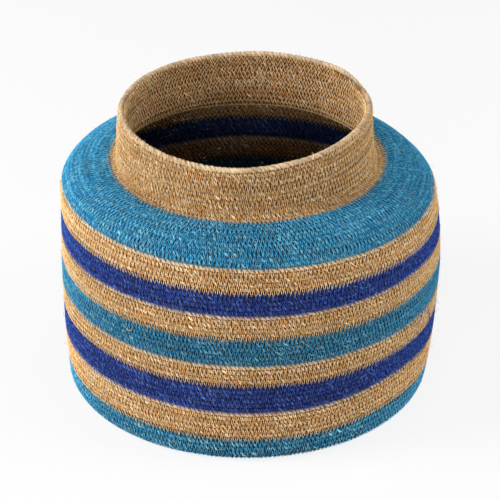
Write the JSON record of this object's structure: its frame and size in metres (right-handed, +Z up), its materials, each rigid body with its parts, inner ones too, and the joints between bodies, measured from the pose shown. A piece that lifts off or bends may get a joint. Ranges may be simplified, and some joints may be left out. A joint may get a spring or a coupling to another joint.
{
  "type": "coiled storage basket",
  "caption": "Wide round basket of coiled, sewn seagrass rope in striped colours, with a rounded shoulder and an open upright neck.",
  "frame": {"origin": "centre of the basket, on the level of the ring it stands on", "axes": "+Z up the basket's axis, out of its mouth; +X and +Y are any two level directions, with the visible front towards -Y"},
  "size_m": [0.36, 0.36, 0.2777],
  "materials": {
    "natural_rope": "undyed twisted seagrass, dry and matte with a faint straw sheen",
    "turquoise_rope": "turquoise-dyed twisted seagrass, matte",
    "navy_rope": "navy-dyed twisted seagrass, matte",
    "natural_thread": "straw-coloured sewing thread, low sheen",
    "turquoise_thread": "turquoise sewing thread, low sheen",
    "navy_thread": "navy sewing thread, low sheen"
  },
  "bodies": {
    "root": {"bobbin_thread_base_natural": "natural_thread", "bobbin_thread_heel_turquoise": "turquoise_thread", "bobbin_thread_neck_natural": "natural_thread", "bobbin_thread_shoulder_turquoise": "turquoise_thread", "bobbin_thread_wall_1_natural": "natural_thread", "bobbin_thread_wall_2_navy": "navy_thread", "bobbin_thread_wall_3_natural": "natural_thread", "bobbin_thread_wall_4_turquoise": "turquoise_thread", "bobbin_thread_wall_5_natural": "natural_thread", "bobbin_thread_wall_6_navy": "navy_thread", "bobbin_thread_wall_7_natural": "natural_thread", "needle_thread_base_natural": "natural_thread", "needle_thread_heel_turquoise": "turquoise_thread", "needle_thread_neck_natural": "natural_thread", "needle_thread_shoulder_turquoise": "turquoise_thread", "needle_thread_wall_1_natural": "natural_thread", "needle_thread_wall_2_navy": "navy_thread", "needle_thread_wall_3_natural": "natural_thread", "needle_thread_wall_4_turquoise": "turquoise_thread", "needle_thread_wall_5_natural": "natural_thread", "needle_thread_wall_6_navy": "navy_thread", "needle_thread_wall_7_natural": "natural_thread", "rope_base_natural": "natural_rope", "rope_heel_turquoise": "turquoise_rope", "rope_neck_natural": "natural_rope", "rope_shoulder_turquoise": "turquoise_rope", "rope_wall_1_natural": "natural_rope", "rope_wall_2_navy": "navy_rope", "rope_wall_3_natural": "natural_rope", "rope_wall_4_turquoise": "turquoise_rope", "rope_wall_5_natural": "natural_rope", "rope_wall_6_navy": "navy_rope", "rope_wall_7_natural": "natural_rope"}
  },
  "joints": []
}
